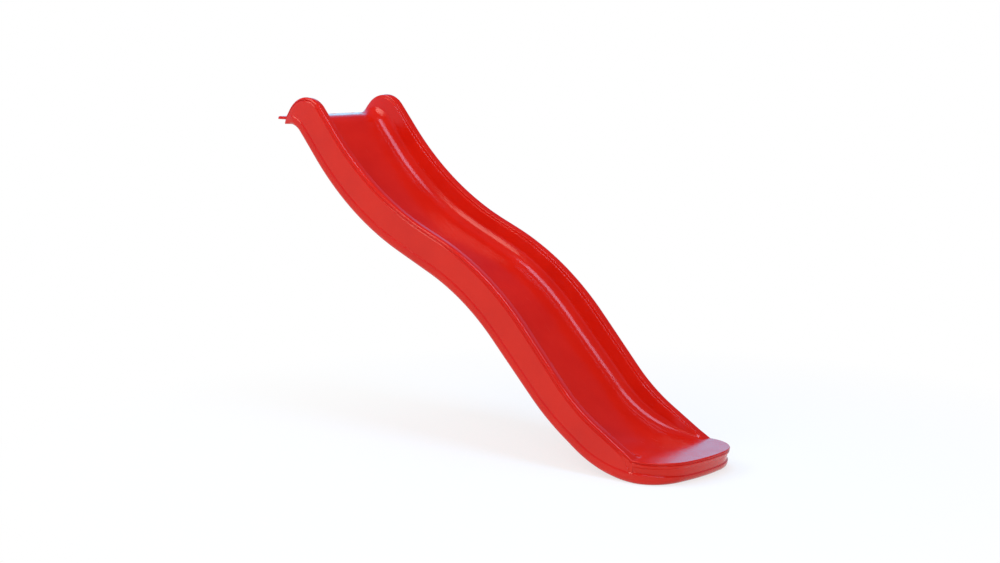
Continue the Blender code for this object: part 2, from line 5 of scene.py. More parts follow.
import bmesh
import bpy
import numpy as np
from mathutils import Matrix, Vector


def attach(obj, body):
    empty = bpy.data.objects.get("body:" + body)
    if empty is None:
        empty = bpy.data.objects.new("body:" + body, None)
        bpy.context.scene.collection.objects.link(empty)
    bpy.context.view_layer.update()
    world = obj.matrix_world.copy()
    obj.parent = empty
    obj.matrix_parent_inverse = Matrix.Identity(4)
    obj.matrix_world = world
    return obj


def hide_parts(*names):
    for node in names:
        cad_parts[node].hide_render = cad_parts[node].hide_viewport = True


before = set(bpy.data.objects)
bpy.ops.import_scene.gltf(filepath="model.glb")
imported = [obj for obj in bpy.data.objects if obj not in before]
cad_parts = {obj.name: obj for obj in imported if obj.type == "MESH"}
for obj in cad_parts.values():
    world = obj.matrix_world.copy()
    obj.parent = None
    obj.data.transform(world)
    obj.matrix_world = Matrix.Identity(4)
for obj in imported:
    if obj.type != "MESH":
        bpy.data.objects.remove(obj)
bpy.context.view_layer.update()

# Overall sizes
HALF_WIDTH = 0.235
SIDE_SPREAD = 0.0055
PLATFORM_HEIGHT = 1.200
WALL = 0.003
GAP = 0.0003

# Entry lip
LIP_DEPTH = 0.058
LIP_THICKNESS = 0.012
LIP_CORNER = 0.020
LIP_EDGE = 0.009
BODY_BACK = LIP_DEPTH / 2

# Riding bed
LIP_RUN = 0.058
CREST_RADIUS = 0.100
TOP_SLOPE = 49.0
TOP_RUN = 0.126
HOLLOW_RADIUS = 1.200
MIDDLE_SLOPE = 23.0
MIDDLE_RUN = 0.181
HUMP_RADIUS = 1.060
LOWER_SLOPE = 45.0
RUNOUT_RADIUS = 0.500

# Foot
FOOT_HEIGHT = 0.081
FOOT_FRONT = 1.968
FOOT_BOW = 0.660
FOOT_CORNER = 0.155
FOOT_RUN = 0.075
FOOT_LEAN = 0.027

# Side walls above the bed, and the line of their rims
WALL_HEIGHT = 0.0996
RIM_WIDTH = 0.0345
HEAD_RADIUS = 0.1125
HEAD_BACK_SLOPE = 54.0
RIM_TOP_RUN = 0.1097
RIM_HOLLOW_RADIUS = 1.261
RIM_MIDDLE_SLOPE = 21.8
RIM_MIDDLE_RUN = 0.0786
RIM_HUMP_RADIUS = 1.212
RIM_LOWER_SLOPE = 46.8
RIM_LOWER_RUN = 0.2517
RIM_BEND_RADIUS = 0.716
RIM_END_SLOPE = 30.4

# Depth of the body below the bed
BODY_DEPTH = 0.052
REAR_DEPTH = 0.018
REAR_BEND_RADIUS = 0.085
FIRST_BEND_RADIUS = 1.000
FIRST_BEND = 11.5
BEND_RUN = 0.061
LANDING_RADIUS = 0.489
GROUND_RUN = 0.150

# Rim and seam in section
RIM_EDGE = 0.0095
RIM_INNER_EDGE = 0.005
CROWN_TILT = 8.0
CROWN_BLEND = 0.006
FOOT_EDGE = 0.004
SKIRT = 0.0115
FOOT_SKIRT = 0.0065
SEAM_CHAMFER = 0.002
LEDGE_DROP = 0.013
LEDGE_WIDTH = 0.004
LEDGE_ROUND = 0.0015
WALL_DRAFT = 0.007
BED_FILLET = 0.055
FILLET_START = -4.0

# Outer side in section under the seam, as how far out and how far down each edge stands
PANEL_ROWS = ((-0.0023, 0.0), (-0.0008, 0.0015), (-0.0005, 0.0035), (0.0015, 0.0058), (0.0015, 0.0120))
POST_ROWS = ((-0.0040, 0.0), (-0.0030, 0.0025), (-0.0005, 0.0050), (-0.0005, 0.0090), (-0.0005, 0.0150))
FRONT_ROWS = ((-0.0040, 0.0), (-0.0035, 0.0025), (0.0, 0.0055), (0.0, 0.0125), (-0.0040, 0.0165))
FIRST_PANEL_ROW = 2
PANEL_END = 1.790
PANEL_CORNER = 0.045
POST_WIDTH = 0.014
STEP_WIDTH = 0.0025

# Lower bead and the rounded bottom edge
BEAD_PROUD = 0.0045
FOOT_BEAD = 0.0005
BEAD_TOP = 0.040
FOOT_BEAD_TOP = 0.029
BEAD_STEP = 0.005
BEAD_SHOULDER = 0.85
SHOULDER_INSET = 0.001
BOTTOM_RADIUS = 0.018
FULL_SIDE = 0.066

# Stiffening channels across the underside
CHANNEL_COUNT = 5
CHANNEL_FIRST = 0.300
CHANNEL_PITCH = 0.300
CHANNEL_MOUTH = 0.072
CHANNEL_DRAFT = 0.014
CHANNEL_HALF_LENGTH = 0.138

# Lip fixings
SCREW_SPREAD = (-0.165, -0.055, 0.055, 0.165)
SCREW_HOLE = 0.0070
POCKET_DIAMETER = 0.021
POCKET_DEPTH = 0.0075
WASHER_DIAMETER = 0.018
WASHER_THICKNESS = 0.0016
HEAD_DIAMETER = 0.012
HEAD_HEIGHT = 0.0045
SHANK_DIAMETER = 0.006
SCREW_LENGTH = 0.022
SCREW_TIP = 0.005
PLAIN_SHANK = 0.0025
THREAD_PITCH = 0.00125
THREAD_DEPTH = 0.00055
THREAD_CREST = 0.1
THREAD_ROOT = 0.85
DOME_START = 0.4
DOME_POWER = 2.6
HEAD_CHAMFER = 0.0002
CROSS_SPAN = 0.0066
CROSS_WIDTH = 0.0014
CROSS_DEPTH = 0.0026
CROSS_TIP = 0.00055
CROSS_TAPER = 0.42
CROSS_FLARE = 1.08
CROSS_RISE = 1.2
POCKET_CHAMFER = 0.0006
WASHER_CHAMFER = 0.0003

# Fineness of the curves
SPACING = 0.014
CREST_SPACING = 0.005
LINE_SPACING = 0.002
EDGE_STEPS = 6
CROWN_STEPS = 10
FILLET_STEPS = 16
CORNER_STEPS = 14
BOW_STEPS = 22
DRAFT_STEPS = 7
PANEL_CORNER_STEPS = 18
POST_STEPS = 4
BOTTOM_STEPS = 8
BACK_FILLET_STEPS = 3
BACK_BOTTOM_STEPS = 2
CREST_REACH = 0.12
CLOSEST_STATIONS = 0.0002
ROUNDING = 0.0012
ROUNDING_SHARE = 0.45
SHARP_ANGLE = 32
POCKET_SIDES = 64
SCREW_SIDES = 40
DOME_STEPS = 14
THREAD_STEPS = 10
REACH = 0.2
SAME = 1e-6

# Red plastic, with each noise as its scale, detail and roughness, and each range as its ends
PLASTIC_IOR = 1.5
PLASTIC_SPECULAR = 0.42
PLASTIC_TINT = (1.0, 0.7, 0.6, 1)
PLASTIC_COLOURS = ((0.35, (0.610, 0.0075, 0.0022, 1)), (0.85, (0.700, 0.0125, 0.0040, 1)))
PLASTIC_ROUGHNESS = (0.13, 0.20)
CLOUD = (5.0, 3.0, 0.5)
MOTTLE = (160.0, 2.0, 0.5)
MOTTLE_SHARE = 0.25
HAZE = (22.0, 4.0, 0.6)
WAVE = (7.0, 1.5, 0.5)
WAVE_HEIGHT = 0.0022
PEEL = (420.0, 1.0, 0.5)
PEEL_HEIGHT = 0.00006
NOISE_RANGE = (0.3, 0.7)

# Scuffs along the middle of the bed
SCRATCH = (1.0, 3.0, 0.6)
SCRATCH_STRETCH = (5.0, 420.0, 1.0)
SCRATCH_RANGE = (0.60, 0.72)
SCRATCH_DEPTH = 0.00004
RIDDEN_RANGE = (0.05, 0.16)
WEAR = (3.0, 2.0, 0.5)
WEAR_RANGE = (0.35, 0.65)
WEAR_STRENGTH = (0.25, 1.0)
WORN_ROUGHNESS = 0.16
WORN_SHARE = 0.10
WORN_COLOUR = (0.80, 0.10, 0.06, 1)

# Zinc-plated steel
GRAIN = (900.0, 4.0, 0.5)
GRAIN_HEIGHT = 0.00002
STEEL_SHADE = 0.8
STEEL_ROUGHNESS = (0.28, 0.42)
SCREW_COLOUR = (0.62, 0.63, 0.66)
WASHER_COLOUR = (0.68, 0.68, 0.68)

# World, with its sky's colours by the height of the direction
WORLD_COLOUR = (0.93, 0.96, 1.0, 1)
WORLD_STRENGTH = 0.62
WHITE = (1, 1, 1, 1)
SKY_COLOURS = (
    (0.0, (0.55, 0.88, 1.0, 1)),
    (0.20, (0.16, 0.70, 1.0, 1)),
    (0.42, (0.10, 0.40, 0.80, 1)),
    (0.54, (0.03, 0.07, 0.14, 1)),
)

# Floor, and how its glow rises with the distance from the slide
FLOOR_REACH = 40.0
FLOOR_COLOUR = (0.93, 0.93, 0.93, 1)
FLOOR_ROUGHNESS = 0.9
FADE_CENTRE = (1.3, 0.1, -PLATFORM_HEIGHT)
FADE_RANGE = (0.7, 2.2)
FADE_GLOW = (0.72, 1.0)

# Lamps, each with its name, place, target, size, power and colour
SLIDE_MIDDLE = (0.9, 0.0, -0.6)
WARM_WHITE = (1.0, 0.98, 0.96)
LAMPS = (
    ("key", (-1.6, -2.6, 3.4), SLIDE_MIDDLE, (2.6, 2.6), 95, WARM_WHITE),
    ("fill", (5.0, -4.6, 1.8), SLIDE_MIDDLE, (3.0, 2.4), 60, WARM_WHITE),
    ("top", (1.9, -0.25, 2.2), (1.3, -0.25, -0.7), (1.1, 2.2), 64, (0.34, 0.62, 1.0)),
    ("sky", (-2.5, 3.7, 0.1), SLIDE_MIDDLE, (5.0, 1.4), 18, (0.05, 0.62, 1.0)),
)

# Camera
CAMERA_PLACE = (5.5494, -5.0951, 0.3670)
CAMERA_PITCH = 7.9955
CAMERA_TURN = 41.90
CAMERA_LENS = 65.13
CAMERA_SENSOR = 36.0


class Path:
    """A line in the XZ plane made of straight runs and tangent arcs, read by its length."""

    def __init__(self, x, z, heading, moves):
        self.pieces = []
        self.length = 0.0
        for radius, amount in moves:
            self.pieces.append((self.length, x, z, heading, radius, amount))
            length = amount if radius is None else radius * abs(math.radians(amount))
            x, z, heading = self.walk(x, z, heading, radius, amount, length)
            self.length += length

    @staticmethod
    def walk(x, z, heading, radius, amount, length):
        if radius is None:
            return x + length * math.cos(heading), z + length * math.sin(heading), heading
        side = math.copysign(1.0, amount)
        turned = heading + side * length / radius
        x += side * radius * (math.sin(turned) - math.sin(heading))
        z -= side * radius * (math.cos(turned) - math.cos(heading))
        return x, z, turned

    def at(self, length):
        piece = self.pieces[0]
        for candidate in self.pieces:
            if candidate[0] <= length:
                piece = candidate
        start, x, z, heading, radius, amount = piece
        return self.walk(x, z, heading, radius, amount, length - start)

    def samples(self):
        count = math.ceil(self.length / LINE_SPACING)
        return [self.at(self.length * step / count)[:2] for step in range(count + 1)]


def bed_path():
    """The riding bed's centre line, from the body's rear face to where the foot is flat."""
    land = -PLATFORM_HEIGHT + FOOT_HEIGHT
    top, middle, lower = (math.radians(slope) for slope in (TOP_SLOPE, MIDDLE_SLOPE, LOWER_SLOPE))
    drop = LIP_THICKNESS - land
    drop -= CREST_RADIUS * (1 - math.cos(top)) + TOP_RUN * math.sin(top)
    drop -= HOLLOW_RADIUS * (math.cos(middle) - math.cos(top)) + MIDDLE_RUN * math.sin(middle)
    drop -= HUMP_RADIUS * (math.cos(middle) - math.cos(lower)) + RUNOUT_RADIUS * (1 - math.cos(lower))
    moves = (
        (None, LIP_RUN),
        (CREST_RADIUS, -TOP_SLOPE),
        (None, TOP_RUN),
        (HOLLOW_RADIUS, TOP_SLOPE - MIDDLE_SLOPE),
        (None, MIDDLE_RUN),
        (HUMP_RADIUS, MIDDLE_SLOPE - LOWER_SLOPE),
        (None, drop / math.sin(lower)),
        (RUNOUT_RADIUS, LOWER_SLOPE),
        (None, FOOT_RUN),
    )
    return Path(BODY_BACK, LIP_THICKNESS, 0.0, moves)


def underside_path(bed):
    """The bottom line: a bend under the crest, the bed's parallel, then two bends onto the ground."""
    rear = Path(BODY_BACK, -REAR_DEPTH, 0.0, ((REAR_BEND_RADIUS, -TOP_SLOPE),))
    bent_x, bent_z, heading = rear.at(rear.length)
    _, x, z, _, _, _ = bed.pieces[3]
    x += BODY_DEPTH * math.sin(heading)
    z -= BODY_DEPTH * math.cos(heading)
    down = (z - bent_z) / math.sin(heading)
    moves = [(None, x - bent_x - down * math.cos(heading)), (REAR_BEND_RADIUS, -TOP_SLOPE), (None, down)]
    for _, _, _, _, radius, amount in bed.pieces[3:6]:
        moves.append((radius and radius + math.copysign(BODY_DEPTH, amount), amount))
    _, _, z, heading, _, _ = bed.pieces[6]
    rest = heading + math.radians(FIRST_BEND)
    drop = z - BODY_DEPTH * math.cos(heading) + PLATFORM_HEIGHT
    drop -= FIRST_BEND_RADIUS * (math.cos(rest) - math.cos(heading))
    drop -= BEND_RUN * math.sin(-rest) + LANDING_RADIUS * (1 - math.cos(rest))
    moves += [
        (None, drop / math.sin(-heading)),
        (FIRST_BEND_RADIUS, FIRST_BEND),
        (None, BEND_RUN),
        (LANDING_RADIUS, -math.degrees(rest)),
        (None, GROUND_RUN),
    ]
    return Path(BODY_BACK, -REAR_DEPTH, 0.0, moves)


def rim_path(bed):
    """The rims' top line: a rounded head, then the bed's line raised, then a bend down to the foot."""
    rise = math.radians(HEAD_BACK_SLOPE)
    _, top_x, top_z, top_heading, _, _ = bed.pieces[2]
    normal = Vector((-math.sin(top_heading), math.cos(top_heading)))
    on_line = Vector((top_x, top_z)) + normal * WALL_HEIGHT
    bare_head = Path(BODY_BACK, LIP_THICKNESS, rise, ((HEAD_RADIUS, -HEAD_BACK_SLOPE - TOP_SLOPE),))
    x, z, _ = bare_head.at(bare_head.length)
    back = Vector((math.cos(rise), math.sin(rise)))
    back_run = (on_line - Vector((x, z))).dot(normal) / back.dot(normal)
    along = Vector((math.cos(top_heading), math.sin(top_heading)))
    join = (on_line - Vector((x, z)) - back * back_run).dot(along)
    moves = [
        (None, back_run),
        (HEAD_RADIUS, -HEAD_BACK_SLOPE - TOP_SLOPE),
        (None, join + RIM_TOP_RUN),
        (RIM_HOLLOW_RADIUS, TOP_SLOPE - RIM_MIDDLE_SLOPE),
        (None, RIM_MIDDLE_RUN),
        (RIM_HUMP_RADIUS, RIM_MIDDLE_SLOPE - RIM_LOWER_SLOPE),
        (None, RIM_LOWER_RUN),
        (RIM_BEND_RADIUS, RIM_LOWER_SLOPE - RIM_END_SLOPE),
    ]
    bent = Path(BODY_BACK, LIP_THICKNESS, rise, moves)
    _, z, heading = bent.at(bent.length)
    moves.append((None, (z - bed.at(bed.length)[1]) / math.sin(-heading)))
    return Path(BODY_BACK, LIP_THICKNESS, rise, moves)


def reach(line, x, z, dx, dz):
    """How far along a direction a point meets a sampled line, or 0 where it misses it."""
    start, end = line[:-1], line[1:]
    run = end - start
    cross = dx * run[:, 1] - dz * run[:, 0]
    cross[cross == 0] = math.inf
    share = (dz * (start[:, 0] - x) - dx * (start[:, 1] - z)) / cross
    travel = ((start[:, 0] - x) * run[:, 1] - (start[:, 1] - z) * run[:, 0]) / cross
    hit = (share >= -SAME) & (share <= 1 + SAME) & (travel >= 0) & (travel <= REACH) & np.isfinite(cross)
    return float(travel[hit][-1]) if hit.any() else 0.0


def ease(value, low, high):
    share = min(1.0, max(0.0, (value - low) / (high - low)))
    return share * share * (3 - 2 * share)


def mix(one, other, share):
    return one + (other - one) * share


BED = bed_path()
UNDERSIDE = np.array(underside_path(BED).samples())
RIM_LINE = rim_path(BED)
RIM = np.array(RIM_LINE.samples())


class Post:
    """One place on the slide's outer edge, with the directions and sizes of the section there."""

    def __init__(self, foot, out, up, rim=0.0, skirt=FOOT_SKIRT, edge=FOOT_EDGE, depth=0.0, rows=()):
        self.foot = Vector(foot)
        self.out = Vector(out)
        self.up = Vector(up)
        self.rim = rim
        self.skirt = skirt
        self.edge = edge
        self.rows = rows
        self.seam = rim - skirt - GAP
        self.bottom = -depth
        self.scale = min(1.0, (self.seam - self.bottom) / FULL_SIDE)
        share = self.out.x * self.out.x
        self.bead = mix(BEAD_PROUD, FOOT_BEAD, share)
        self.bead_top = mix(BEAD_TOP, FOOT_BEAD_TOP, share) * self.scale
        self.radius = BOTTOM_RADIUS * self.scale
        self.lean = mix(-SIDE_SPREAD, FOOT_LEAN, share)

    def point(self, out, up):
        return self.foot + self.out * out + self.up * up

    def leant(self, points):
        high = self.seam - self.bottom
        return [(out - self.lean * (self.seam - up) / high, up) for out, up in points]


def corner_centre():
    inset = HALF_WIDTH - FOOT_CORNER
    return FOOT_FRONT - FOOT_BOW + math.sqrt((FOOT_BOW - FOOT_CORNER) ** 2 - inset**2), inset


def side_rows(x, start):
    """The side's upper edges. The panel fades in after the lip and ends in a round corner at its post."""
    turn = min(1.0, max(0.0, (x - PANEL_END) / PANEL_CORNER + 1))
    fall = FULL_SIDE * (1 - math.sqrt(1 - turn * turn))
    lowest = FULL_SIDE - BEAD_TOP
    to_post = ease(x, PANEL_END, PANEL_END + STEP_WIDTH)
    to_front = ease(x, PANEL_END + POST_WIDTH, PANEL_END + POST_WIDTH + STEP_WIDTH)
    rows = []
    for number, (panel, post, front) in enumerate(zip(PANEL_ROWS, POST_ROWS, FRONT_ROWS)):
        out, down = panel
        if number >= FIRST_PANEL_ROW:
            out *= start
            down = min(down + fall, lowest + down / 2)
        out, down = mix(out, post[0], to_post), mix(down, post[1], to_post)
        rows.append((mix(out, front[0], to_front), mix(down, front[1], to_front)))
    return rows


def side_post(length, side):
    x, z, heading = BED.at(length)
    corner_x, inset = corner_centre()
    turn = math.asin(max(0.0, x - corner_x) / FOOT_CORNER)
    up_x, up_z = -math.sin(heading), math.cos(heading)
    start = ease(length, 0.0, LIP_RUN)
    ending = ease(x, PANEL_END - PANEL_CORNER, PANEL_END + POST_WIDTH)
    post = Post(
        (x, side * (inset + FOOT_CORNER * math.cos(turn)), z),
        (math.sin(turn), side * math.cos(turn), 0),
        (up_x, 0, up_z),
        rim=reach(RIM, x, z, up_x, up_z),
        skirt=mix(mix(LIP_THICKNESS, SKIRT, start), FOOT_SKIRT, ending),
        edge=mix(RIM_EDGE, FOOT_EDGE, ending),
        depth=reach(UNDERSIDE, x, z, -up_x, -up_z),
        rows=side_rows(x, start),
    )
    post.bead *= start
    return post


def foot_posts():
    """Posts round the rest of the foot's D, from its near side to its far side."""
    last_x, level, _ = BED.at(BED.length)
    corner_x, inset = corner_centre()
    half_bow = math.asin(inset / (FOOT_BOW - FOOT_CORNER))
    begun = math.asin((last_x - corner_x) / FOOT_CORNER)
    quarter = math.pi / 2 - half_bow - begun
    arcs = []
    for step in range(1, CORNER_STEPS):
        angle = begun - math.pi / 2 + quarter * step / CORNER_STEPS
        arcs.append((corner_x, -inset, FOOT_CORNER, angle))
    for step in range(BOW_STEPS + 1):
        arcs.append((FOOT_FRONT - FOOT_BOW, 0.0, FOOT_BOW, half_bow * (2 * step / BOW_STEPS - 1)))
    for step in range(1, CORNER_STEPS):
        arcs.append((corner_x, inset, FOOT_CORNER, half_bow + quarter * step / CORNER_STEPS))
    posts = []
    for x, y, radius, angle in arcs:
        out = Vector((math.cos(angle), math.sin(angle), 0))
        foot = Vector((x, y, level)) + out * radius
        posts.append(Post(foot, out, (0, 0, 1), depth=FOOT_HEIGHT, rows=FRONT_ROWS))
    return posts


def lip_posts():
    """Posts round the lip's rounded rear edge, from the far side to the near side."""
    posts = []
    for side in (1, -1):
        centre = Vector((-BODY_BACK + LIP_CORNER, side * (HALF_WIDTH - LIP_CORNER), LIP_THICKNESS))
        for step in range(CORNER_STEPS + 1):
            turn = step / CORNER_STEPS if side > 0 else 1 - step / CORNER_STEPS
            angle = math.pi / 2 * turn
            out = Vector((-math.sin(angle), side * math.cos(angle), 0))
            posts.append(Post(centre + out * LIP_CORNER, out, (0, 0, 1), skirt=LIP_THICKNESS, edge=LIP_EDGE))
    return posts


def length_at(x):
    """The length down the bed at which it stands over x."""
    low, high = 0.0, BED.length
    while high - low > SAME:
        middle = (low + high) / 2
        low, high = (middle, high) if BED.at(middle)[0] < x else (low, middle)
    return low


def channel_lift(length):
    """0 outside the stiffening channels, 1 over their floors, and rounded between."""
    lift = 0.0
    for number in range(CHANNEL_COUNT):
        off = abs(length - CHANNEL_FIRST - CHANNEL_PITCH * number)
        lift = max(lift, 1 - ease(off, CHANNEL_MOUTH / 2 - CHANNEL_DRAFT, CHANNEL_MOUTH / 2))
    return lift


def head_length():
    """The length down the bed, on the crest's bend, whose section meets the rim's highest point."""
    x, z, _ = RIM_LINE.at(RIM_LINE.pieces[1][0] + HEAD_RADIUS * math.radians(HEAD_BACK_SLOPE))
    turn = math.atan2(x - BODY_BACK - LIP_RUN, z - LIP_THICKNESS + CREST_RADIUS)
    return LIP_RUN + CREST_RADIUS * turn


def stations():
    """Lengths down the bed where the shells have a section, closer where the form changes faster."""
    wanted = list(np.arange(0.0, BED.length, SPACING)) + [head_length(), BED.length]
    wanted += list(np.arange(CREST_SPACING, LIP_RUN + CREST_REACH, CREST_SPACING))
    for number in range(CHANNEL_COUNT):
        middle = CHANNEL_FIRST + CHANNEL_PITCH * number
        for side in (-1, 1):
            for step in range(DRAFT_STEPS + 1):
                wanted.append(middle + side * (CHANNEL_MOUTH / 2 - CHANNEL_DRAFT * step / DRAFT_STEPS))
    turns = [math.pi / 2 * step / PANEL_CORNER_STEPS for step in range(PANEL_CORNER_STEPS + 1)]
    ends = [PANEL_END - PANEL_CORNER * (1 - math.sin(turn)) for turn in turns]
    for start in (PANEL_END, PANEL_END + POST_WIDTH):
        ends += [start + STEP_WIDTH * step / POST_STEPS for step in range(POST_STEPS + 1)]
    wanted += [length_at(x) for x in ends + [RIM[-1][0]]]
    kept = []
    for length in sorted(wanted):
        if not kept or length - kept[-1] > CLOSEST_STATIONS:
            kept.append(float(length))
    kept[-1] = BED.length
    return kept


def rounded(points, first, last):
    """The line with its corners from first to last softened, each to four points."""
    result = list(points[:first])
    for number in range(first, last + 1):
        before, here, after = (Vector(points[number + shift]) for shift in (-1, 0, 1))
        back, on = before - here, after - here
        size = min(ROUNDING, ROUNDING_SHARE * back.length, ROUNDING_SHARE * on.length)
        one = here + back.normalized() * size
        other = here + on.normalized() * size
        for share in (0.0, 1 / 3, 2 / 3, 1.0):
            place = one * (1 - share) ** 2 + here * 2 * share * (1 - share) + other * share**2
            result.append((place.x, place.y))
    return result + list(points[last + 1 :])


class Shell:
    """Vertices and faces collected row by row, then closed into one mesh."""

    def __init__(self):
        self.points = []
        self.faces = []

    def row(self, points):
        first = len(self.points)
        self.points += [Vector(point) for point in points]
        return list(range(first, len(self.points)))

    def rows(self, posts, section):
        """A row through the section of each post."""
        return [self.row(post.point(*place) for place in section(post)) for post in posts]

    def strip(self, one, other):
        for index in range(len(one) - 1):
            self.faces.append((one[index], one[index + 1], other[index + 1], other[index]))

    def skin(self, rows):
        """A strip from each row to the next."""
        for one, other in zip(rows, rows[1:]):
            self.strip(one, other)

    def cap(self, ring):
        self.faces.append(tuple(ring))

    def finish(self, name, surface, cutters=()):
        """The shell as an object that knows how far down the bed each of its points is."""
        mesh = closed_mesh(name, self.points, self.faces)
        if cutters:
            mesh = drilled(mesh, cutters)
        lengths = np.arange(0.0, BED.length + SPACING, SPACING)
        places = [BED.at(length)[0] for length in lengths]
        along = mesh.attributes.new("along", "FLOAT", "POINT")
        values = [float(np.interp(vertex.co.x, places, lengths)) for vertex in mesh.vertices]
        along.data.foreach_set("value", values)
        return put(name, mesh, surface)


def closed_mesh(name, points, faces):
    """A mesh whose faces share their points and face outward."""
    mesh = bpy.data.meshes.new(name)
    mesh.from_pydata(points, [], faces)
    work = bmesh.new()
    work.from_mesh(mesh)
    bmesh.ops.remove_doubles(work, verts=work.verts, dist=SAME)
    bmesh.ops.recalc_face_normals(work, faces=work.faces)
    work.to_mesh(mesh)
    work.free()
    return mesh


def put(name, mesh, surface, place=(0.0, 0.0, 0.0)):
    """The mesh as a smooth object with its flat faces kept flat."""
    mesh.materials.append(surface)
    mesh.shade_smooth()
    mesh.set_sharp_from_angle(angle=math.radians(SHARP_ANGLE))
    body = bpy.data.objects.new(name, mesh)
    body.location = place
    bpy.context.collection.objects.link(body)
    flat = body.modifiers.new("flat_faces", "WEIGHTED_NORMAL")
    flat.keep_sharp = True
    return body


def drilled(mesh, cutters):
    """The mesh with each cutter's form taken out of it."""
    blank = bpy.data.objects.new("blank", mesh)
    bpy.context.collection.objects.link(blank)
    tools = []
    for cutter in cutters:
        tool = bpy.data.objects.new("cutter", cutter)
        bpy.context.collection.objects.link(tool)
        hole = blank.modifiers.new("hole", "BOOLEAN")
        hole.operation = "DIFFERENCE"
        hole.solver = "EXACT"
        hole.object = tool
        tools.append(tool)
    shaped = bpy.data.meshes.new_from_object(blank.evaluated_get(bpy.context.evaluated_depsgraph_get()))
    for item in tools + [blank]:
        bpy.data.objects.remove(item)
    return shaped


def revolved(name, rings, shift=(0.0, 0.0, 0.0)):
    """A closed mesh through rings of points, where a ring of one point closes an end."""
    points = [Vector(point) + Vector(shift) for row in rings for point in row]
    faces = []
    first = 0
    for one, other in zip(rings, rings[1:]):
        second = first + len(one)
        sides = max(len(one), len(other))
        for side in range(sides):
            after = (side + 1) % sides
            if len(one) == 1:
                faces.append((first, second + side, second + after))
            elif len(other) == 1:
                faces.append((first + side, second, first + after))
            else:
                faces.append((first + side, second + side, second + after, first + after))
        first = second
    return closed_mesh(name, points, faces)


def ring(radius, height, sides):
    """Points round the Z axis, or the one point on it."""
    if radius == 0.0:
        return [(0.0, 0.0, height)]
    turns = [2 * math.pi * side / sides for side in range(sides)]
    return [(radius * math.cos(turn), radius * math.sin(turn), height) for turn in turns]


def pocket_cutters():
    """The stepped cutters of the lip's screw holes, with a small chamfer round each pocket's mouth."""
    floor = LIP_THICKNESS - POCKET_DEPTH
    hole, pocket = SCREW_HOLE / 2, POCKET_DIAMETER / 2
    wide = pocket + POCKET_CHAMFER
    profile = (
        (0.0, -LIP_THICKNESS),
        (hole, -LIP_THICKNESS),
        (hole, floor),
        (pocket, floor),
        (pocket, LIP_THICKNESS - POCKET_CHAMFER),
        (wide, LIP_THICKNESS),
        (wide, LIP_THICKNESS * 2),
        (0.0, LIP_THICKNESS * 2),
    )
    rings = [ring(radius, height, POCKET_SIDES) for radius, height in profile]
    return [revolved("cutter", rings, (0.0, y, 0.0)) for y in SCREW_SPREAD]


def thread_ring(height):
    """A ring round the shank whose radius follows the thread's helix, drawn in towards the tip."""
    shank = SHANK_DIAMETER / 2
    begun = ease(-height, PLAIN_SHANK, PLAIN_SHANK + THREAD_PITCH)
    taper = min(1.0, (height + SCREW_LENGTH) / SCREW_TIP)
    points = []
    for side in range(SCREW_SIDES):
        share = side / SCREW_SIDES
        phase = (height / THREAD_PITCH + share) % 1.0
        groove = THREAD_DEPTH * begun * ease(abs(2 * phase - 1), THREAD_CREST, THREAD_ROOT)
        radius = (shank - groove) * taper
        turn = 2 * math.pi * share
        points.append((radius * math.cos(turn), radius * math.sin(turn), height))
    return points


def cross_cutter():
    """The tapered cross of the screw's drive recess, with a point in its floor."""
    arm, half = CROSS_SPAN / 2, CROSS_WIDTH / 2
    quarter = ((arm, -half), (arm, half), (half, half))
    top, floor = HEAD_HEIGHT * CROSS_RISE, HEAD_HEIGHT - CROSS_DEPTH
    rings = [[(0.0, 0.0, top)]]
    for size, height in ((CROSS_FLARE, top), (CROSS_TAPER, floor)):
        points = []
        for cos, sin in ((1, 0), (0, 1), (-1, 0), (0, -1)):
            turned = [(x * cos - y * sin, x * sin + y * cos) for x, y in quarter]
            points += [(x * size, y * size, height) for x, y in turned]
        rings.append(points)
    rings.append([(0.0, 0.0, floor - CROSS_TIP)])
    return revolved("cutter", rings)


def make_screw(name, place, surface):
    """A pan-head screw with a cross recess and a thread that runs out to its point."""
    head = HEAD_DIAMETER / 2
    rings = [ring(0.0, HEAD_HEIGHT, SCREW_SIDES)]
    for step in range(1, DOME_STEPS + 1):
        share = math.sin(math.pi / 2 * step / DOME_STEPS)
        height = HEAD_HEIGHT * (DOME_START + (1 - DOME_START) * math.sqrt(1 - share**DOME_POWER))
        rings.append(ring(head * share, height, SCREW_SIDES))
    rings += [ring(head, HEAD_CHAMFER, SCREW_SIDES), ring(head - HEAD_CHAMFER, 0.0, SCREW_SIDES)]
    count = math.ceil(SCREW_LENGTH / THREAD_PITCH * THREAD_STEPS)
    rings += [thread_ring(-SCREW_LENGTH * step / count) for step in range(count)]
    rings.append(ring(0.0, -SCREW_LENGTH, SCREW_SIDES))
    return put(name, drilled(revolved(name, rings), [cross_cutter()]), surface, place)


def make_washer(name, place, surface):
    """A flat washer with its edges chamfered, most at the upper rim."""
    hole, rim, chamfer = SCREW_HOLE / 2, WASHER_DIAMETER / 2, WASHER_CHAMFER
    profile = (
        (hole, chamfer / 2),
        (hole, WASHER_THICKNESS - chamfer / 2),
        (hole + chamfer / 2, WASHER_THICKNESS),
        (rim - chamfer, WASHER_THICKNESS),
        (rim, WASHER_THICKNESS - chamfer),
        (rim, chamfer / 2),
        (rim - chamfer / 2, 0.0),
        (hole + chamfer / 2, 0.0),
        (hole, chamfer / 2),
    )
    rings = [ring(radius, height, POCKET_SIDES) for radius, height in profile]
    return put(name, revolved(name, rings), surface, place)


